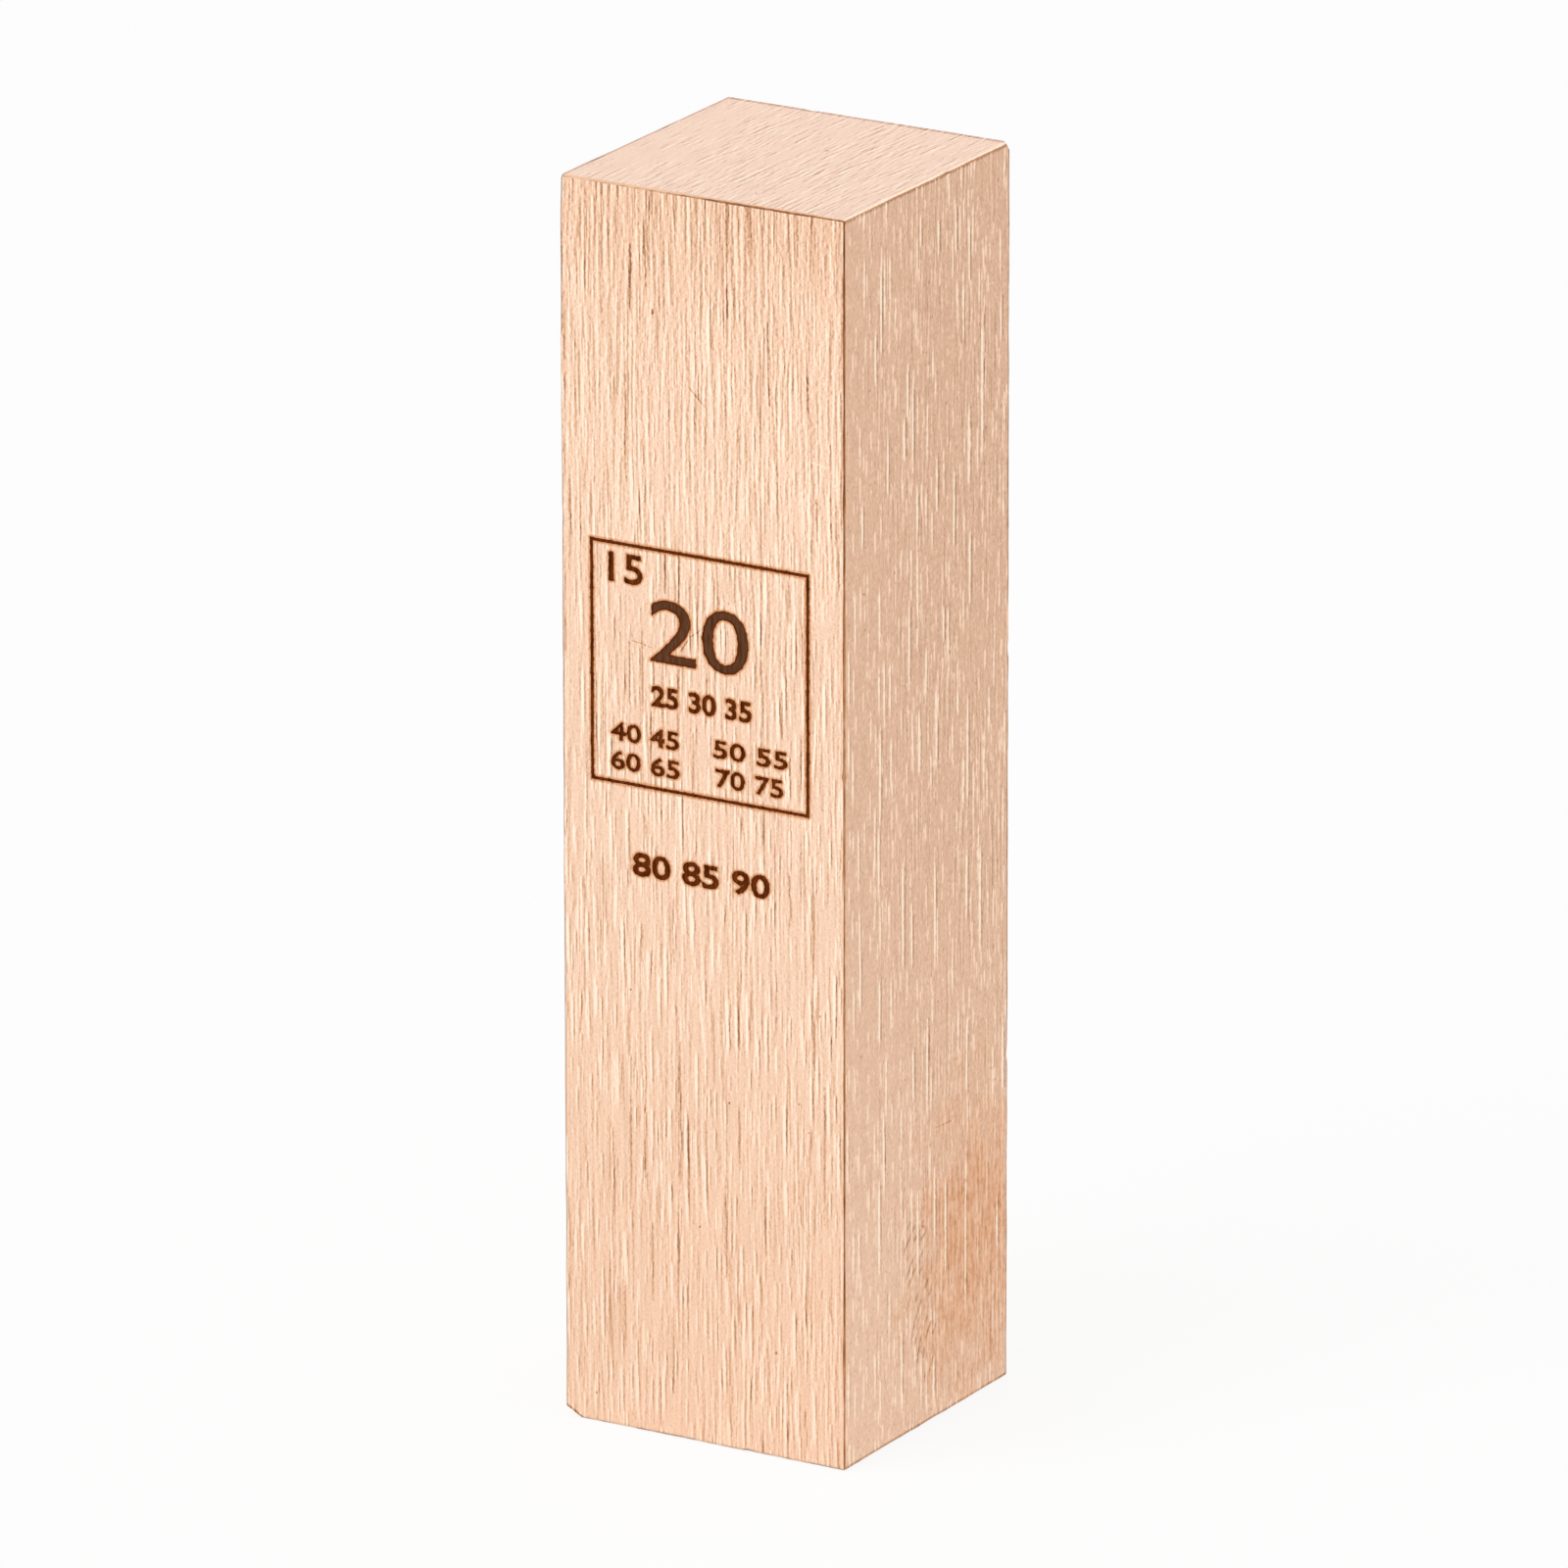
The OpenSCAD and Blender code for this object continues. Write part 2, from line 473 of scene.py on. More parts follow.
def side_shadow(tree, beside, strength, offset, width):
    """The dark side of a scratch: a line beside its middle, as strong as the scratch is."""
    away = add(tree, "Math", [beside, offset], operation="SUBTRACT")
    return add(tree, "Math", [line_mask(tree, away, width), strength], operation="MULTIPLY")


def shaded_rim(tree, rims, rough):
    """Ragged painted shade in the narrow rims of a face, each of which is 1 at the very edge."""
    rim = rims[0]
    for other in rims[1:]:
        rim = add(tree, "Math", [rim, other], operation="MAXIMUM")
    return fade(tree, add(tree, "Math", [rim, rough], operation="MULTIPLY"), 0.15, 0.65)


def front_relief(tree, across, down, upper):
    """Lit and shaded sides of the front's grooves and crumbs, and the height of each."""
    relief, height = lit_relief(tree, across, down, FRONT_GROOVE, 3)
    crumbs, crumb_height = lit_relief(tree, across, down, FRONT_CRUMB, seed=6)
    crumbs = add(tree, "Math", [crumbs, sum_of(tree, 0.4, (upper, 0.3))], operation="MULTIPLY")
    patch = fade(tree, grain(tree, across, down, PATCH, seed=9), 0.3, 0.7)
    patch = sum_of(tree, 0.75, (patch, 0.85), (upper, 0.6))
    relief = sum_of(tree, 0.0, (relief, patch), (crumbs, 1.1))
    lit, shaded = fade(tree, relief, 0.02, 0.34), fade(tree, relief, -0.04, -0.34)
    return lit, shaded, height, crumb_height


def front_scratches(tree, across, down, lower):
    """How much the front's separate scratches lighten or darken it: each pale line is a painted
    highlight beside its painted shadow, and they are stronger lower down.
    """
    leaning = sum_of(tree, across, (down, SCRATCH_LEAN))
    pale, beside, strength = scratches(tree, leaning, down, spacing=0.8, reach=6.5,
                                       width=0.19, share=0.5, seed=2)
    shadow = side_shadow(tree, beside, strength, 0.22, 0.13)
    fine, beside, strength = scratches(tree, across, down, spacing=0.45, reach=3.2,
                                       width=0.13, share=0.5, seed=23)
    fine_shadow = side_shadow(tree, beside, strength, 0.15, 0.12)
    dark = scratches(tree, across, down, spacing=1.1, reach=11.0, width=0.14, share=0.3,
                     seed=1)[0]
    separate = sum_of(tree, 0.0, (fine, 0.26), (fine_shadow, -0.28), (pale, 0.32),
                      (shadow, -0.24), (dark, -0.25))
    return add(tree, "Math", [separate, sum_of(tree, 1.0, (lower, 0.35))], operation="MULTIPLY")


def scorched(tree, colour, crumb_height, speck):
    """The front's colour with a brown scorch round the marks, and how strong the scorch is."""
    burn = add(tree, "Attribute", attribute_name="from_mark").node.outputs["Fac"]
    ragged_burn = sum_of(tree, burn, (crumb_height, 0.14), (speck, 0.08))
    halo = add(tree, "Math", [fade(tree, ragged_burn, 0.38, 0.22), 0.75], operation="MULTIPLY")
    colour = add(tree, "MixRGB", [halo, colour, linear("#D5935B")])
    rim = fade(tree, ragged_burn, 0.2, 0.12)
    return add(tree, "MixRGB", [rim, colour, linear("#6A2F0A")]), halo


def brushed_front(name):
    """Belt-brushed copper: dense upright grooves, each with painted light on one side and painted shade
    on the other.
    """
    material, tree, shader = new_material(name, 0.42)
    round_bar, down = round_the_bar(tree)
    across = wandering(tree, round_bar, down, 0.15, 0.08)
    upper, lower = fade(tree, down, 40.0, 15.0), fade(tree, down, 12.0, 60.0)
    lit, shaded, height, crumb_height = front_relief(tree, across, down, upper)
    separate = front_scratches(tree, across, down, lower)
    rough_rim = sum_of(tree, -0.45, (crumb_height, 0.9))
    groups = [upright(FRONT_GROOVES) + FRONT_CUTS, FRONT_PITS,
              upright(FRONT_PALE_LINES) + FRONT_PALE_CUTS]
    cuts, pits, pale_cuts = [cut_mask(tree, nearest_cut(tree, across, down, group), rough_rim)
                             for group in groups]
    wide = grain(tree, across, down, FRONT_BAND, seed=4)
    speck = grain(tree, across, down, FRONT_SPECK, 2, seed=3)
    # Painted shade creeps in from the left and right edges and up from the base
    rims = [fade(tree, round_bar, SIDE_START - 0.3, SIDE_START), fade(tree, round_bar, 0.45, 0.1),
            fade(tree, down, LENGTH - 0.5, LENGTH - 0.1)]
    rim_shade = shaded_rim(tree, rims, speck)
    from_pale = add(tree, "Math", [down, PALE_BAND], operation="SUBTRACT")
    paler = fade(tree, add(tree, "Math", [from_pale], operation="ABSOLUTE"), 14.0, 4.0)
    top_end = fade(tree, down, 10.0, 0.0)
    # Lighter lower down, by the lower term, is painted light that evens out the lamps' falloff towards
    # the base
    tone = sum_of(tree, 0.385, (lit, 0.26), (shaded, -0.27), (wide, 0.11), (speck, 0.28),
                  (lower, 0.03), (paler, 0.035), (separate, 1.0), (cuts, -0.33),
                  (pits, -0.5), (pale_cuts, 0.25), (top_end, -0.08), (rim_shade, -0.28))
    warmth = sum_of(tree, 0.0, (fade(tree, down, 45.0, 100.0), 0.19), (upper, 0.04))
    colour = add(tree, "MixRGB", [warmth, ramp(tree, tone, COPPER_TONES), linear("#F0B48A")])
    colour, halo = scorched(tree, colour, crumb_height, speck)
    rough = sum_of(tree, 0.3, (wide, 0.15), (speck, 0.15), (halo, 0.15))
    finish_metal(tree, shader, colour, rough, sum_of(tree, height, (cuts, -1.0)), 0.01)
    return material


def beaded(tree, across, along):
    """How strongly a streak shows along its length: it is broken into beads."""
    beads = fade(tree, grain(tree, across, along, SIDE_BEAD, seed=25), 0.3, 0.55)
    return sum_of(tree, 0.35, (beads, 0.85))


def side_relief(tree, across, down, worked):
    """Lit and shaded sides of a side's fine grooves, strongest where worked, and their height."""
    relief, height = lit_relief(tree, across, down, SIDE_GROOVE, 3)
    crumbs = lit_relief(tree, across, down, SIDE_CRUMB, seed=6)[0]
    patch = fade(tree, grain(tree, across, down, PATCH, seed=9), 0.3, 0.7)
    patch = sum_of(tree, 0.7, (patch, 0.9))
    relief = sum_of(tree, 0.0, (relief, patch), (crumbs, 0.45))
    relief = add(tree, "Math", [relief, worked], operation="MULTIPLY")
    return fade(tree, relief, 0.06, 0.34), fade(tree, relief, -0.1, -0.38), height


def side_tone(tree, round_bar, down, worked):
    """Distance across, height, rim roughness and tone of a finely brushed side."""
    across = wandering(tree, round_bar, down, 0.15, 0.08)
    lit, shaded, height = side_relief(tree, across, down, worked)
    speck = grain(tree, across, down, SIDE_SPECK, 2, seed=3)
    mottle = grain(tree, across, down, SIDE_MOTTLE, 2, seed=7)
    dots = grain(tree, across, down, SIDE_DOT, seed=14)
    short = scratches(tree, across, down, spacing=0.55, reach=2.4, width=0.17, share=0.32,
                      seed=5)[0]
    long, beside, strength = scratches(tree, across, down, spacing=0.8, reach=6.5,
                                       width=0.2, share=0.34, seed=8)
    shadow = side_shadow(tree, beside, strength, 0.22, 0.14)
    dark = scratches(tree, across, down, spacing=1.3, reach=5.0, width=0.15, share=0.2,
                     seed=17)[0]
    # The scratches are real, but their pale is painted glint
    streaks = sum_of(tree, 0.0, (lit, 0.16), (short, 0.3), (long, 0.46))
    streaks = add(tree, "Math", [streaks, beaded(tree, across, down)], operation="MULTIPLY")
    dark_dots, pale_dots = fade(tree, dots, 0.72, 0.86), fade(tree, dots, 0.3, 0.18)
    # The sides start darker than the front: partly their finer finish, partly painted shade. Lighter low
    # down is painted light that evens out the lamps' falloff there.
    tone = sum_of(tree, 0.2, (streaks, 1.05), (shaded, -0.12), (speck, 0.32),
                  (mottle, 0.14), (shadow, -0.13), (dark, -0.1), (dark_dots, -0.25),
                  (pale_dots, 0.2), (fade(tree, down, 30.0, 100.0), 0.07))
    return across, height, sum_of(tree, -0.5, (speck, 1.0)), tone


def brushed_side(name):
    """Finely brushed copper: an even tan with many small pale scratches along it."""
    material, tree, shader = new_material(name, 0.4)
    round_bar, down = round_the_bar(tree)
    narrowed = add(tree, "Math", [round_bar, PLAIN_SIDE_FINENESS], operation="MULTIPLY")
    across, height, rough_rim, tone = side_tone(tree, narrowed, down, 1.2)
    # Sparse long scratches, painted bright as glints
    bright = scratches(tree, across, down, spacing=2.6, reach=12.0, width=0.22, share=0.4,
                       seed=11)[0]
    colour = ramp(tree, sum_of(tree, tone, (bright, 0.4)), SIDE_TONES)
    finish_metal(tree, shader, colour, sum_of(tree, 0.42, (rough_rim, 0.25)), height, 0.01)
    return material


def long_scratches(tree, across, down, rough_rim):
    """The longest scratches of the handled side, broken into beads and painted bright as glints, and
    their painted shadows.
    """
    lines = upright(SIDE_SCRATCHES) + SIDE_LEANING_SCRATCHES
    scratched = nearest_cut(tree, across, down, lines, SIDE_START)
    bright = fade(tree, sum_of(tree, scratched, (rough_rim, 1.0)), 0.95, 0.3)
    broken = sum_of(tree, 0.3, (beaded(tree, across, down), 0.7))
    beside = add(tree, "Math", [across, -0.26], operation="ADD")
    shadow = nearest_cut(tree, beside, down, lines, SIDE_START)
    return (add(tree, "Math", [bright, broken], operation="MULTIPLY"),
            cut_mask(tree, shadow, rough_rim))


def smudge_streaks(tree, across, down, smudge):
    """Dark streaks and crumbs where the smudge has settled into the grooves."""
    streaks = fade(tree, grain(tree, across, down, SMUDGE_STREAK, 2, seed=16), 0.35, 0.7)
    crumbs = fade(tree, grain(tree, across, down, SMUDGE_CRUMB, 2, seed=18), 0.4, 0.62)
    return add(tree, "Math", [sum_of(tree, streaks, (crumbs, 0.7)), smudge], operation="MULTIPLY")


def smudged(tree, round_bar, down):
    """Where the handling smudge lies, from 0 to 1, and the faint curved ridges at its rim."""
    spot = add(tree, "CombineXYZ", [round_bar, down])
    middle = (SIDE_START + SMUDGE_MIDDLE[0], SMUDGE_MIDDLE[1], 0)
    local = add(tree, "Mapping", {"Vector": spot, "Location": middle, "Scale": (*SMUDGE_SIZE, 1)},
                vector_type="TEXTURE")
    away = add(tree, "VectorMath", [local], operation="LENGTH").node.outputs["Value"]
    cloud = grain(tree, round_bar, down, SMUDGE_CLOUD, 3, seed=12)
    smudge = fade(tree, sum_of(tree, away, (cloud, 1.6)), 2.15, 0.8)
    arm = (-SIDE_START - RIDGES_MIDDLE[0], -RIDGES_MIDDLE[1], 0)
    arm = add(tree, "VectorMath", [spot, arm], operation="ADD")
    radius = add(tree, "VectorMath", [arm], operation="LENGTH").node.outputs["Value"]
    turns = sum_of(tree, 0.0, (radius, math.tau / RIDGE_PITCH), (cloud, 6.0))
    crest = fade(tree, add(tree, "Math", [turns], operation="SINE"), 0.3, 0.9)
    rim = nearest_cut(tree, round_bar, down, SMUDGE_RIM, SIDE_START)
    broken = grain(tree, round_bar, down, RIDGE_PATCH, seed=15)
    shown = add(tree, "Math", [fade(tree, rim, 1.2, 0.4), fade(tree, broken, 0.45, 0.6)],
                operation="MULTIPLY")
    return smudge, add(tree, "Math", [crest, shown], operation="MULTIPLY")


def handled_side(name):
    """The same brushed copper where it is picked up: long scratches painted bright as glints, and a
    brown smudge.
    """
    material, tree, shader = new_material(name, 0.4)
    round_bar, down = round_the_bar(tree)
    smudge, ridges = smudged(tree, round_bar, down)
    # The strip by the front edge was brushed less
    worked = sum_of(tree, 0.55, (fade(tree, round_bar, SIDE_START + 2, SIDE_START + 9), 0.6),
                    (smudge, 0.5))
    across, height, rough_rim, tone = side_tone(tree, round_bar, down, worked)
    bright, shadow = long_scratches(tree, across, down, rough_rim)
    cuts = cut_mask(tree, nearest_cut(tree, across, down, SIDE_CUTS, SIDE_START), rough_rim)
    streaks = smudge_streaks(tree, across, down, smudge)
    # Darker in a ragged line just under the top edge
    under_top_edge = fade(tree, sum_of(tree, down, (rough_rim, 0.3)), 0.42, 0.25)
    near_front = fade(tree, round_bar, SIDE_START + 14, SIDE_START + 4)
    # Low down by the front edge the side is painted lighter: painted light that evens out the shade the
    # lamps leave there
    low = add(tree, "Math", [fade(tree, down, 55.0, 90.0), near_front], operation="MULTIPLY")
    # Painted shade along the side's back edge and its base
    rims = [fade(tree, round_bar, SIDE_END - 0.4, SIDE_END - 0.1),
            fade(tree, down, LENGTH - 0.5, LENGTH - 0.15)]
    rim_shade = shaded_rim(tree, rims, sum_of(tree, 0.9, (rough_rim, 1.0)))
    tone = sum_of(tree, tone, (bright, 0.62), (shadow, -0.2), (cuts, -0.22), (under_top_edge, -0.22),
                  (ridges, -0.28), (streaks, -0.24), (smudge, 0.17), (low, 0.015),
                  (near_front, 0.02), (rim_shade, -0.3))
    # The scratches cut through the smudge's brown
    bare = sum_of(tree, 0.5, (bright, -0.4))
    stain = add(tree, "Math", [smudge, bare], operation="MULTIPLY")
    colour = add(tree, "MixRGB", [stain, ramp(tree, tone, SIDE_TONES), linear("#DD9458")])
    finish_metal(tree, shader, colour, sum_of(tree, 0.42, (rough_rim, 0.25)), height, 0.01)
    return material


def brushed_end(name):
    """End sawn and brushed across: pale and even, with short faint scratches and a few pits."""
    material, tree, shader = new_material(name, 0.4)
    left, back = position(tree)[:2]
    across = wandering(tree, left, back, 0.2, 0.1)
    relief, height = lit_relief(tree, across, back, END_GROOVE, 3)
    crumbs = lit_relief(tree, across, back, END_CRUMB, seed=6)[0]
    worked = fade(tree, grain(tree, left, back, END_PATCH, seed=21), 0.3, 0.65)
    worked = sum_of(tree, 0.45, (worked, 1.0), (fade(tree, left, 2.0, 9.0), 0.6))
    relief = sum_of(tree, 0.0, (relief, worked), (crumbs, 0.45))
    lit, shaded = fade(tree, relief, 0.02, 0.4), fade(tree, relief, -0.06, -0.42)
    speck = grain(tree, across, back, END_SPECK, 2, seed=3)
    mottle = grain(tree, across, back, END_MOTTLE, seed=7)
    pale, beside, strength = scratches(tree, across, back, spacing=1.0, reach=4.5,
                                       width=0.17, share=0.4, seed=4)
    shadow = side_shadow(tree, beside, strength, -0.22, 0.16)
    pits = cut_mask(tree, nearest_cut(tree, left, back, END_PITS), 0.0)
    # Painted shade along the end's back and left edges
    rims = [fade(tree, back, 2 * HALF - 0.85, 2 * HALF - 0.5), fade(tree, left, 0.55, 0.35)]
    rim_shade = shaded_rim(tree, rims, sum_of(tree, 0.4, (speck, 0.8)))
    tone = sum_of(tree, 0.345, (lit, 0.26), (shaded, -0.26), (speck, 0.26), (mottle, 0.14),
                  (pale, 0.2), (shadow, -0.24), (pits, -0.4), (rim_shade, -0.3))
    colour = ramp(tree, tone, END_TONES)
    finish_metal(tree, shader, colour, sum_of(tree, 0.35, (speck, 0.2)), height, 0.006)
    return material


def filed_edge(name, dull, clean, start, end):
    """Filed edge of bare copper: dull and clean by turns along it. Given dark colours, as on the upright
    front left and back right edges, it is painted shade.
    """
    material, tree, shader = new_material(name, 0.4)
    spot = add(tree, "TexCoord").node.outputs["Object"]
    turn = add(tree, "TexNoise", {"Vector": spot, "Scale": FILED_PATCHES_PER_MM / MM, "Detail": 2})
    colour = ramp(tree, turn, [(start, dull), (end, clean)])
    tree.links.new(colour, shader.inputs["Base Color"])
    return material


def burnished_edge(name):
    """Edge rubbed bright by handling, darkening to a dark line along its lower side."""
    material, tree, shader = new_material(name, 0.4)
    back, down = position(tree)[1:]
    rough = grain(tree, back, down, BURNISHED_GRAIN, 2)
    tone = sum_of(tree, 0.0, (down, 4.5), (rough, 0.3))
    colour = ramp(tree, tone, [(0.15, "#DDBFAA"), (0.45, "#E2C5B0"), (0.62, "#C29A7D"),
                               (0.9, "#8C6247")])
    tree.links.new(colour, shader.inputs["Base Color"])
    return material


def shaded_edge(name):
    """Unfiled edge painted with a brown line of shade, darkest near the top and low down."""
    material, tree, shader = new_material(name, 0.45)
    back, down = position(tree)[1:]
    turn = grain(tree, back, down, EDGE_SHADE_GRAIN, 2.5)
    inner = fade(tree, back, 0.1, 0.0)
    below = fade(tree, down, 20.0, 38.0)
    again = add(tree, "Math", [fade(tree, down, 70.0, 78.0), fade(tree, down, 95.0, 88.0)],
                operation="MULTIPLY")
    tone = sum_of(tree, 0.12, (turn, 0.6), (below, 0.18), (again, -0.16), (inner, -0.2))
    colour = ramp(tree, tone, [(0.15, "#6A3A17"), (0.35, "#96592C"), (0.55, "#BE8253"),
                               (0.8, "#E3B48E")])
    tree.links.new(colour, shader.inputs["Base Color"])
    return material


def ragged_edge(name):
    """Edge filed only at its left end: to the right it is a dark, torn burr line."""
    material, tree, shader = new_material(name, 0.4)
    left, _, down = position(tree)
    torn = grain(tree, left, down, TORN_GRAIN, 2)
    filed = fade(tree, left, 16.0, 8.0)
    tone = sum_of(tree, 0.35, (torn, 0.7), (filed, 0.35), (fade(tree, down, 0.02, 0.15), -0.6))
    colour = ramp(tree, tone, [(0.1, "#7C5034"), (0.35, "#B58663"), (0.6, "#D6B295")])
    tree.links.new(colour, shader.inputs["Base Color"])
    return material


def burnt_mark(name):
    """Copper oxide burnt by a laser: reddish brown lines, grey-brown inside wide strokes."""
    material, tree, shader = new_material(name, 0.55)
    burn = add(tree, "Attribute", attribute_name="from_mark").node.outputs["Fac"]
    round_bar, down = round_the_bar(tree)
    across = wandering(tree, round_bar, down, 0.35, 0.18)
    lines = grain(tree, across, down, BURNT_LINE, 2, seed=5)
    core = fade(tree, burn, -0.04, -0.16)
    colour = ramp(tree, sum_of(tree, 0.0, (lines, 0.5), (core, 0.5)),
                  [(0.15, "#4A1A04"), (0.37, "#783A14"), (0.62, "#4E2D1B"), (0.85, "#6B4730")])
    tree.links.new(colour, shader.inputs["Base Color"])
    return material


# --------------------------------------------------------------------- block

def merged_cad_bar():
    """A copy of the CAD bar in millimetres, merged, with its flat faces whole again."""
    bm = bmesh.new()
    bm.from_mesh(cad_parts["bar"].data)
    bmesh.ops.scale(bm, vec=[1 / MM] * 3, verts=bm.verts)
    bmesh.ops.remove_doubles(bm, verts=bm.verts, dist=TOLERANCE)
    bmesh.ops.dissolve_limit(bm, angle_limit=math.radians(1), verts=bm.verts, edges=bm.edges)
    return bm


def cut_faces(bm, faces, axis, place):
    """Cuts some faces by the plane that stands at this place on an axis, and gives all parts."""
    normal = Vector([float(axis == i) for i in range(3)])
    parts = {part for face in faces for part in (face, *face.edges, *face.verts)}
    cut = bmesh.ops.bisect_plane(bm, geom=list(parts), plane_co=normal * place, plane_no=normal,
                                 dist=CUT_TOLERANCE)
    return [part for part in cut["geom"] if isinstance(part, bmesh.types.BMFace)]


def is_flat(face):
    """Whether a face is one of the six large ones, not a broken edge or a worn flat."""
    return max(abs(part) for part in face.normal) > SQUARE_ON


def looks_forward(face):
    """Whether a face looks straight out of the front, as the front face does."""
    return face.normal.y < -SQUARE_ON


def edge_wander(spot):
    """How much deeper an edge is broken at a spot than the CAD has it."""
    wander = noise.noise(spot / EDGE_WANDER_LENGTH) * EDGE_WANDER
    wander += noise.noise(spot / EDGE_SWAY_LENGTH) * EDGE_SWAY
    for place, depth in NICKS:
        away = (spot - Vector(place)).length / NICK_LENGTH
        wander += depth * math.exp(-away * away)
    return wander


def hand_filed_edges(bm):
    """Cuts the edge breaks into short lengths and lets their width wander and be nicked."""
    steps = random.Random(EDGE_SEED)
    for axis in range(3):
        place = LOW[axis] + EDGE_END_GAP
        while place < HIGH[axis] - EDGE_END_GAP:
            strips = [f for f in bm.faces
                      if not is_flat(f) and abs(f.normal[axis]) < RUNS_ALONG]
            cut_faces(bm, strips, axis, place)
            place += steps.uniform(*EDGE_STEP)
    for vert in bm.verts:
        flats = [face for face in vert.link_faces if is_flat(face)]
        strips = [face for face in vert.link_faces if not is_flat(face)]
        if len(flats) != 1 or len(strips) != 2:
            continue
        if (strips[0].normal - strips[1].normal).length > SAME_STRIP:
            continue
        outward = strips[0].normal - strips[0].normal.project(flats[0].normal)
        vert.co -= outward.normalized() * edge_wander(vert.co)


def fine_panel(bm):
    """Gives the part of the front face that is marked a fine, even mesh."""
    reach = FRAME_SIDE / 2 + PANEL_MARGIN
    below = max(row[2] for row in MARK_ROWS) + PANEL_MARGIN
    above = FRAME_CENTRE[1] - reach
    for axis, place in ((0, FRAME_CENTRE[0] - reach), (0, FRAME_CENTRE[0] + reach),
                        (2, LENGTH - above), (2, LENGTH - below)):
        cut_faces(bm, [f for f in bm.faces if looks_forward(f)], axis, place)
    middle = Vector((FRAME_CENTRE[0], -HALF, LENGTH - (above + below) / 2))
    panel = min((f for f in bm.faces if looks_forward(f)),
                key=lambda face: (face.calc_center_median() - middle).length)
    bmesh.ops.subdivide_edges(bm, edges=panel.edges[:], cuts=PANEL_CUTS, use_grid_fill=True)


def as_mesh(bm, name):
    """A new mesh with the shape of a bmesh, which is freed."""
    mesh = bpy.data.meshes.new(name)
    bm.to_mesh(mesh)
    bm.free()
    return mesh


def in_scene(data):
    """A new object in the scene for a mesh, text, lamp or camera, with the same name."""
    piece = bpy.data.objects.new(data.name, data)
    bpy.context.scene.collection.objects.link(piece)
    return piece


def joined(parts):
    """One bmesh that holds the shapes of several, which are freed."""
    whole = bmesh.new()
    for part in parts:
        mesh = as_mesh(part, "part")
        whole.from_mesh(mesh)
        bpy.data.meshes.remove(mesh)
    return whole


def settled_mesh(piece):
    """The mesh of an object as its modifiers or its text make it; the object is removed."""
    bpy.context.view_layer.update()
    result = piece.evaluated_get(bpy.context.evaluated_depsgraph_get())
    mesh = bpy.data.meshes.new_from_object(result)
    bpy.data.objects.remove(piece)
    return mesh


def number_row(numbers, left, baseline, height, width, weight):
    """Solid digits, standing in the front face, that sink into it by the mark's depth."""
    text = bpy.data.curves.new("digits", "FONT")
    text.body = " ".join(numbers)
    text.extrude = 1
    text.offset = weight
    text.resolution_u = DIGIT_CURVE_STEPS
    digits = bmesh.new()
    digits.from_mesh(settled_mesh(in_scene(text)))
    bmesh.ops.remove_doubles(digits, verts=digits.verts, dist=TEXT_TOLERANCE)
    low = Vector([min(v.co[i] for v in digits.verts) for i in range(3)])
    high = Vector([max(v.co[i] for v in digits.verts) for i in range(3)])
    size = high - low
    bmesh.ops.translate(digits, vec=-low, verts=digits.verts)
    bmesh.ops.scale(digits, vec=(width / size.x, height / size.y, 1 / size.z), verts=digits.verts)
    bmesh.ops.rotate(digits, matrix=STANDING, verts=digits.verts)
    bmesh.ops.translate(digits, vec=(left, MARK_DEPTH - HALF, LENGTH - baseline),
                        verts=digits.verts)
    return digits


def marked_frame():
    """Solid square ring, standing in the front face in the same way."""
    ring = bmesh.new()
    bmesh.ops.create_grid(ring, x_segments=1, y_segments=1, size=(FRAME_SIDE + FRAME_LINE) / 2)
    square = ring.faces[:]
    bmesh.ops.inset_region(ring, faces=square, thickness=FRAME_LINE, use_boundary=True,
                           use_even_offset=True)
    bmesh.ops.delete(ring, geom=square, context="FACES")
    raised = bmesh.ops.extrude_face_region(ring, geom=ring.faces[:])["geom"]
    bmesh.ops.translate(ring, vec=(0, 0, 1),
                        verts=[part for part in raised if isinstance(part, bmesh.types.BMVert)])
    bmesh.ops.rotate(ring, matrix=STANDING, verts=ring.verts)
    bmesh.ops.translate(ring, vec=(FRAME_CENTRE[0], MARK_DEPTH - HALF, LENGTH - FRAME_CENTRE[1]),
                        verts=ring.verts)
    return ring


def marking():
    """All that the laser burns away, as one solid."""
    parts = [marked_frame()]
    number = FIRST_NUMBER
    for count, *layout in MARK_ROWS:
        numbers = [str(number + i * COUNT_STEP) for i in range(count)]
        parts.append(number_row(numbers, *layout))
        number += count * COUNT_STEP
    solid = joined(parts)
    bmesh.ops.recalc_face_normals(solid, faces=solid.faces)
    return solid


def burnt_away(block, solid):
    """The block with the marking's solid cut out of it."""
    cutter = in_scene(as_mesh(solid, "marking"))
    piece = in_scene(as_mesh(block, "block"))
    cut = piece.modifiers.new("burn", "BOOLEAN")
    cut.operation = "DIFFERENCE"
    cut.solver = "MANIFOLD"
    cut.object = cutter
    result = bmesh.new()
    result.from_mesh(settled_mesh(piece))
    bpy.data.objects.remove(cutter)
    return result


def is_burnt(face):
    """Whether a face is in the marking: below the front face, or a wall down to there."""
    middle = face.calc_center_median()
    depth = middle.y + HALF
    in_mark = TOLERANCE < depth < MARK_DEPTH + TOLERANCE
    return in_mark and abs(middle.x) < HALF - MARK_MARGIN


def is_burnt_floor(face):
    """Whether a face is the flat bottom of a mark."""
    return is_burnt(face) and looks_forward(face)


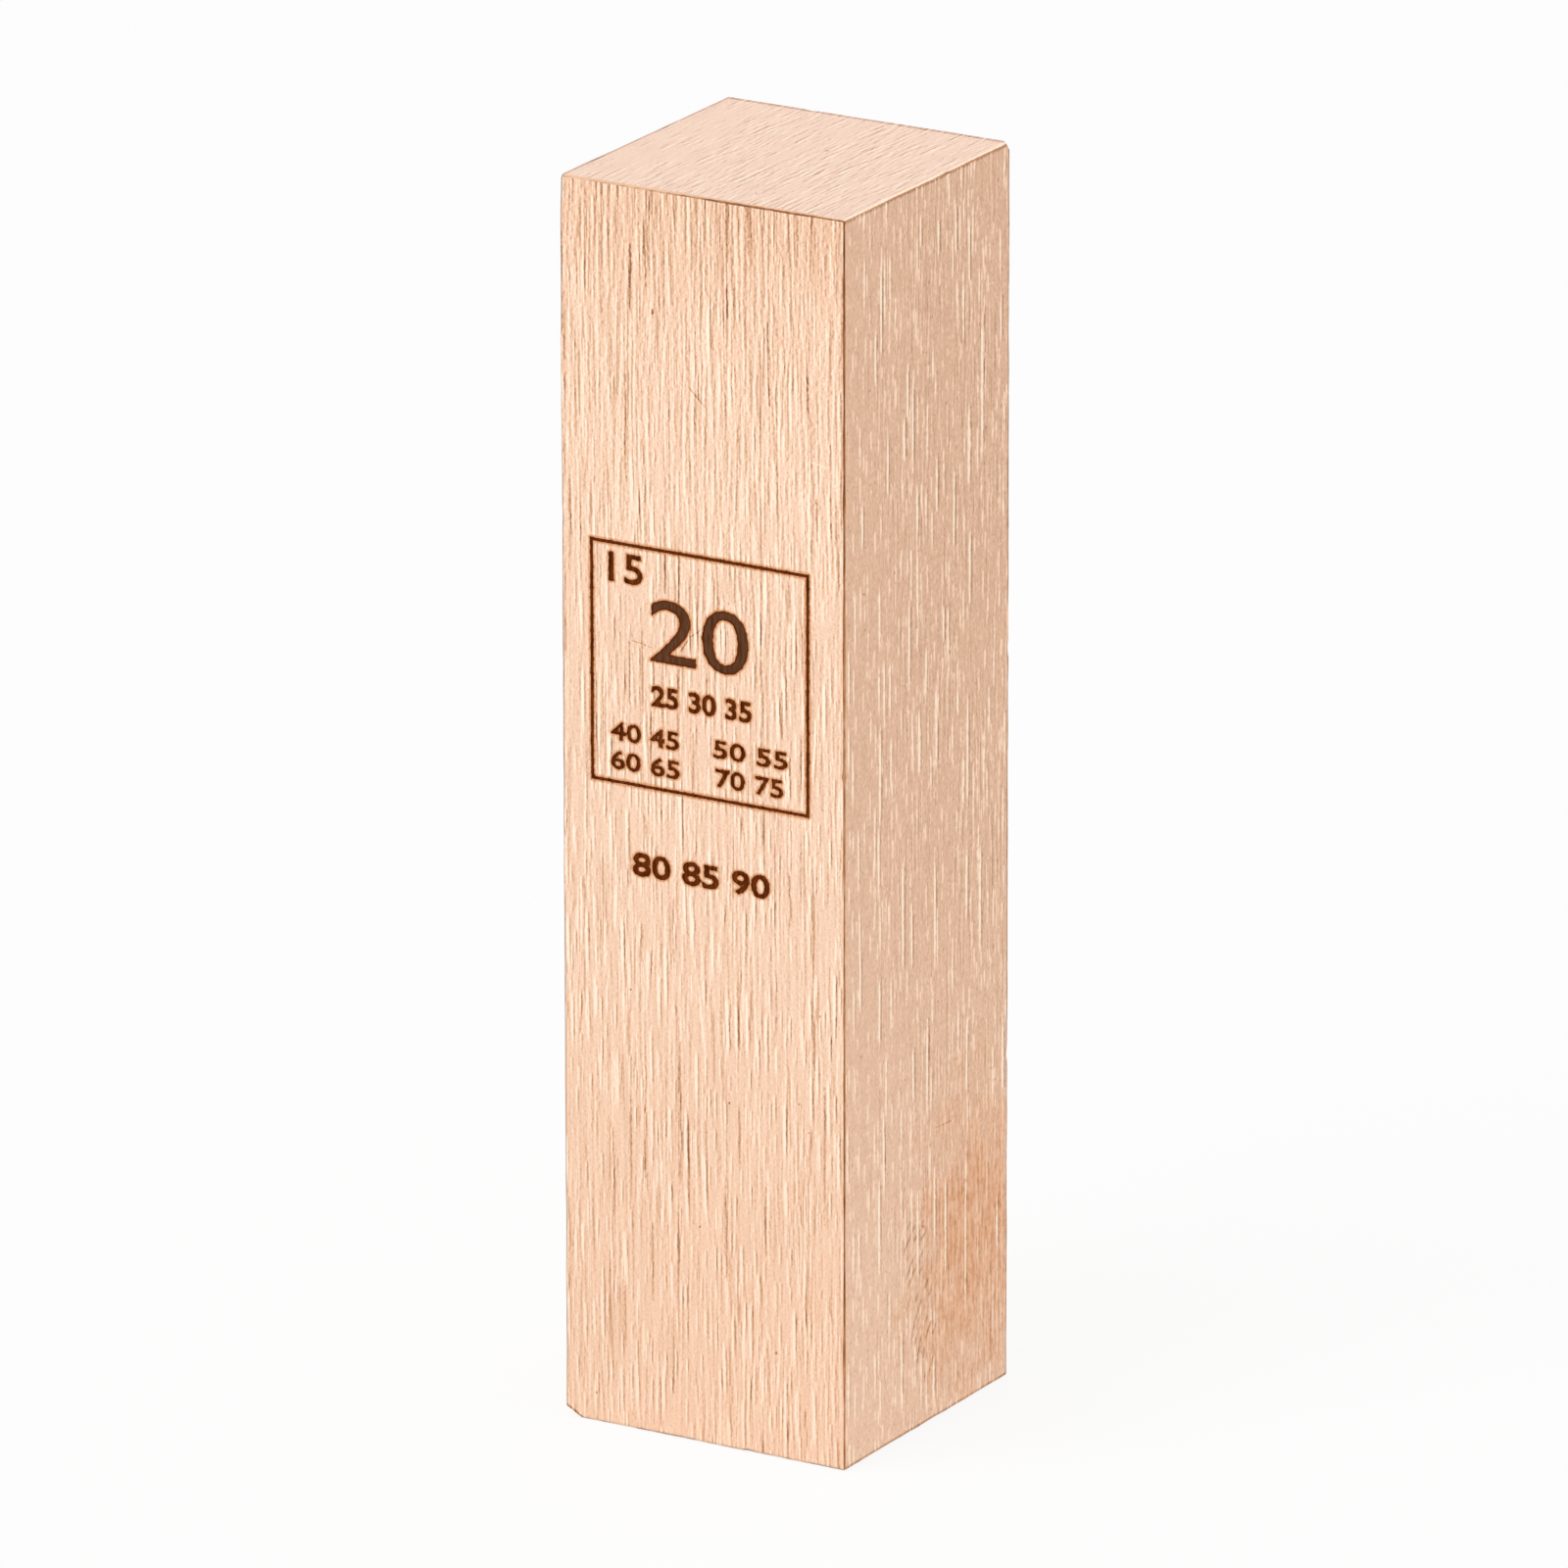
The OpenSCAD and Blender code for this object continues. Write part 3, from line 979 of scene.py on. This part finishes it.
def grid_large_digits(bm):
    """Cuts the floors of the largest digits into a fine grid, to carry their burnt rim."""
    _, left, baseline, height, width, _ = max(MARK_ROWS, key=lambda row: row[3])
    low = Vector((left, 0, LENGTH - baseline))
    high = low + Vector((width, 0, height))
    floors = [f for f in bm.faces if is_burnt_floor(f)
              and low.x < f.calc_center_median().x < high.x
              and low.z < f.calc_center_median().z < high.z]
    for axis in (0, 2):
        cuts = int((high[axis] - low[axis]) / DIGIT_GRID)
        for i in range(1, cuts):
            floors = cut_faces(bm, floors, axis, low[axis] + i * DIGIT_GRID)


def record_distance_from_mark(bm):
    """Stores how far each point is from a mark's outline: below 0 inside the strokes."""
    outline = []
    for edge in bm.edges:
        if len({is_burnt(face) for face in edge.link_faces}) == 2:
            start, end = (v.co for v in edge.verts)
            pieces = 1 + int((end - start).length / OUTLINE_STEP)
            outline += [start.lerp(end, i / pieces) for i in range(pieces + 1)]
    tree = KDTree(len(outline))
    for index, point in enumerate(outline):
        tree.insert(point, index)
    tree.balance()
    layer = bm.verts.layers.float.new("from_mark")
    for vert in bm.verts:
        distance = min(tree.find(vert.co)[2], SCORCH_REACH)
        inside = all(is_burnt_floor(face) for face in vert.link_faces)
        vert[layer] = -distance if inside else distance


# The broken edges that differ from the rest, by the direction that each faces. The upright edges at the
# front left, front right and back right are painted dark as shade.
EDGE_FINISHES = {(1, -1, 0): "dark edge", (0, -1, 1): "ragged edge", (1, 0, 1): "bright edge",
                 (1, 1, 0): "edge in shade", (-1, -1, 0): "edge in shade"}


def finish_of(face):
    """Which finish a face of the bar has, by where it is and which way it looks."""
    if is_burnt(face):
        return "mark"
    if looks_forward(face):
        return "front"
    if abs(face.normal.z) > SQUARE_ON:
        return "end"
    if is_flat(face):
        return "handled side" if face.normal.x > SQUARE_ON else "side"
    return EDGE_FINISHES.get(tuple(round(part) for part in face.normal), "edge")


def finished_piece(bm, name, materials):
    """Makes the mesh an object in metres, with each face in its finish's material."""
    finishes = list(materials)
    for face in bm.faces:
        face.material_index = finishes.index(finish_of(face))
    bmesh.ops.scale(bm, vec=[MM] * 3, verts=bm.verts)
    mesh = as_mesh(bm, name)
    for material in materials.values():
        mesh.materials.append(material)
    return in_scene(mesh)


def brushed_bar():
    """The whole object: the CAD bar with filed edges, a burnt marking and its finishes."""
    block = merged_cad_bar()
    hand_filed_edges(block)
    fine_panel(block)
    bar = burnt_away(block, marking())
    grid_large_digits(bar)
    record_distance_from_mark(bar)
    piece = finished_piece(bar, "bar_marked", {
        "front": brushed_front("copper, belt brushed"),
        "side": brushed_side("copper, finely brushed"),
        "handled side": handled_side("copper, finely brushed and handled"),
        "end": brushed_end("copper, sawn and brushed"),
        "edge": filed_edge("copper, filed edge", "#A98771", "#E9CDB4", 0.35, 0.6),
        "ragged edge": ragged_edge("copper, ragged edge"),
        "bright edge": burnished_edge("copper, burnished edge"),
        # The upright front left and back right edges: painted shade
        "edge in shade": filed_edge("copper, edge in shade", "#6B5648", "#9C8270", 0.35, 0.65),
        # The front right upright edge: a painted line of shade
        "dark edge": shaded_edge("copper, edge with painted shade"),
        "mark": burnt_mark("copper, laser burnt"),
    })
    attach(piece, "root")
    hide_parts("bar")


# -------------------------------------------------------------------- studio

def direction(azimuth, elevation):
    """Unit vector from the bar to a place: azimuth 0 is in front, positive to the right."""
    a, e = math.radians(azimuth), math.radians(elevation)
    return Vector((math.sin(a) * math.cos(e), -math.cos(a) * math.cos(e), math.sin(e)))


def seen_directly(tree):
    """1 for what the camera sees, straight or by reflection or through glass, and 0 for fill."""
    rays = add(tree, "LightPath").node.outputs
    seen = add(tree, "Math", [rays["Is Camera Ray"], rays["Is Glossy Ray"]], operation="MAXIMUM")
    return add(tree, "Math", [seen, rays["Is Transmission Ray"]], operation="MAXIMUM")


def pale_floor():
    """White paper that takes a soft shadow, kept pale by its own whiteness."""
    bm = bmesh.new()
    bmesh.ops.create_grid(bm, x_segments=1, y_segments=1, size=FLOOR_REACH * MM)
    bmesh.ops.translate(bm, verts=bm.verts, vec=(0, 0, -FLOOR_GAP * MM))
    floor = in_scene(as_mesh(bm, "floor"))
    material, tree, shader = new_material("paper, matt white", 0.9, metallic=0.0)
    shader.inputs["Base Color"].default_value = linear("#FBFBFB")
    white = add(tree, "Emission", {"Color": (1, 1, 1, 1), "Strength": 1.0})
    share = add(tree, "Math", [seen_directly(tree), FLOOR_WHITENESS], operation="MULTIPLY")
    mixed = add(tree, "MixShader", [share, shader.outputs[0], white])
    tree.links.new(mixed, tree.nodes["Material Output"].inputs["Surface"])
    floor.data.materials.append(material)


def softbox(name, azimuth, elevation, distance, size, power):
    """Square lamp that faces the middle of the bar."""
    lamp = bpy.data.lights.new(name, "AREA")
    lamp.size = size * MM
    lamp.energy = power
    box = in_scene(lamp)
    outward = direction(azimuth, elevation)
    box.location = (Vector((0, 0, LENGTH / 2)) + outward * distance) * MM
    box.rotation_euler = outward.to_track_quat("Z", "Y").to_euler()


def white_room():
    """A white world for the camera and for reflections, and a softer fill for the rest."""
    world = bpy.data.worlds.new("white room")
    world.use_nodes = True
    bpy.context.scene.world = world
    tree = world.node_tree
    tree.nodes.clear()
    fill = add(tree, "Background", {"Color": (1, 1, 1, 1), "Strength": FILL_STRENGTH})
    white = add(tree, "Background", {"Color": (1, 1, 1, 1), "Strength": 1.0})
    add(tree, "OutputWorld", [add(tree, "MixShader", [seen_directly(tree), fill, white])])


def camera():
    """The camera: it looks at the bar's middle from a little above and to the right."""
    back = direction(CAMERA_AZIMUTH, CAMERA_ELEVATION)
    right = Vector((0, 0, 1)).cross(back).normalized()
    up = back.cross(right)
    roll = Matrix.Rotation(math.radians(CAMERA_ROLL), 3, back)
    right, up = roll @ right, roll @ up
    aim = Vector((0, 0, LENGTH / 2)) + right * CAMERA_AIM_RIGHT + up * CAMERA_AIM_UP
    data = bpy.data.cameras.new("camera")
    data.lens = CAMERA_LENS
    view = in_scene(data)
    axes = Matrix((right, up, back)).transposed().to_4x4()
    view.matrix_world = Matrix.Translation((aim + back * CAMERA_DISTANCE) * MM) @ axes
    bpy.context.scene.camera = view


bpy.context.scene.view_settings.view_transform = "Standard"
brushed_bar()
pale_floor()
white_room()
softbox("key", azimuth=-25, elevation=32, distance=1200, size=1000, power=6)
softbox("rim", azimuth=159, elevation=29, distance=1000, size=400, power=0.7)
camera()
